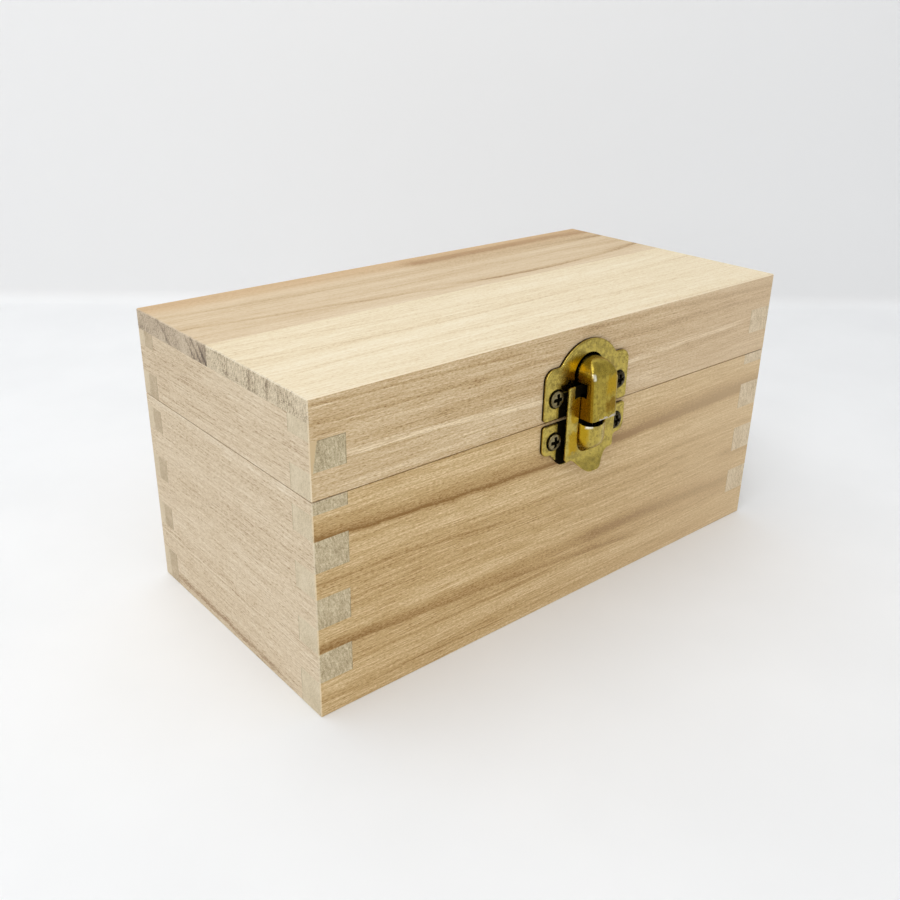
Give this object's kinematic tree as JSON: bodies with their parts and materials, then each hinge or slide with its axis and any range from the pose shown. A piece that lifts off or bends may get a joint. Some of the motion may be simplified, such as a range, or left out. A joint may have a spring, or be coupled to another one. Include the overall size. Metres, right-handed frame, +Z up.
{
  "type": "hinged wooden box",
  "caption": "Small oblong keepsake box in raw finger-jointed wood, with a hinged lid and a pressed brass hood-and-flap catch on the front.",
  "frame": {"origin": "centre of the flat face that the closed box stands on", "axes": "+Z up, +X along the front from left to right (the long side), -Y out of the front face that carries the catch, +Y out of the back that carries the hinges"},
  "size_m": [0.181, 0.1013, 0.088],
  "materials": {
    "end_panel_wood": "raw, sanded, end panels",
    "long_panel_wood": "raw, sanded, front and back panels",
    "top_wood": "raw, sanded, pale top boards",
    "bottom_wood": "raw, sanded, bottom board",
    "catch_brass": "brass plated, rubbed and slightly tarnished",
    "screw_brass": "brass plated, dulled",
    "hinge_brass": "brass plated"
  },
  "bodies": {
    "box": {"box_front_panel": "long_panel_wood", "box_back_panel": "long_panel_wood", "box_left_panel_upper_strip": "end_panel_wood", "box_left_panel_lower_strip": "end_panel_wood", "box_right_panel": "end_panel_wood", "box_bottom_panel": "bottom_wood", "catch_lower_plate": "catch_brass", "catch_lower_screws": "screw_brass", "hinge_left_box_leaf": "hinge_brass", "hinge_right_box_leaf": "hinge_brass", "hinge_left_pin": "hinge_brass", "hinge_right_pin": "hinge_brass", "hinge_box_screws": "screw_brass"},
    "lid": {"lid_front_panel": "long_panel_wood", "lid_back_panel": "long_panel_wood", "lid_left_panel": "end_panel_wood", "lid_right_panel": "end_panel_wood", "lid_top_front_board": "top_wood", "lid_top_back_board": "top_wood", "catch_upper_plate": "catch_brass", "catch_hood": "catch_brass", "catch_upper_screws": "screw_brass", "hinge_left_lid_leaf": "hinge_brass", "hinge_right_lid_leaf": "hinge_brass", "hinge_lid_screws": "screw_brass"},
    "flap": {"catch_flap": "catch_brass"}
  },
  "joints": [
    {"name": "lid_hinge", "type": "hinge", "parent": "box", "child": "lid", "pos_m": [0, 0.0467, 0.06225], "axis": [-1, 0, 0], "range_deg": [0, 185]},
    {"name": "flap_swing", "type": "hinge", "parent": "lid", "child": "flap", "pos_m": [0.0014, -0.048, 0.0707], "axis": [-1, 0, 0], "range_deg": [0, 185]}
  ]
}
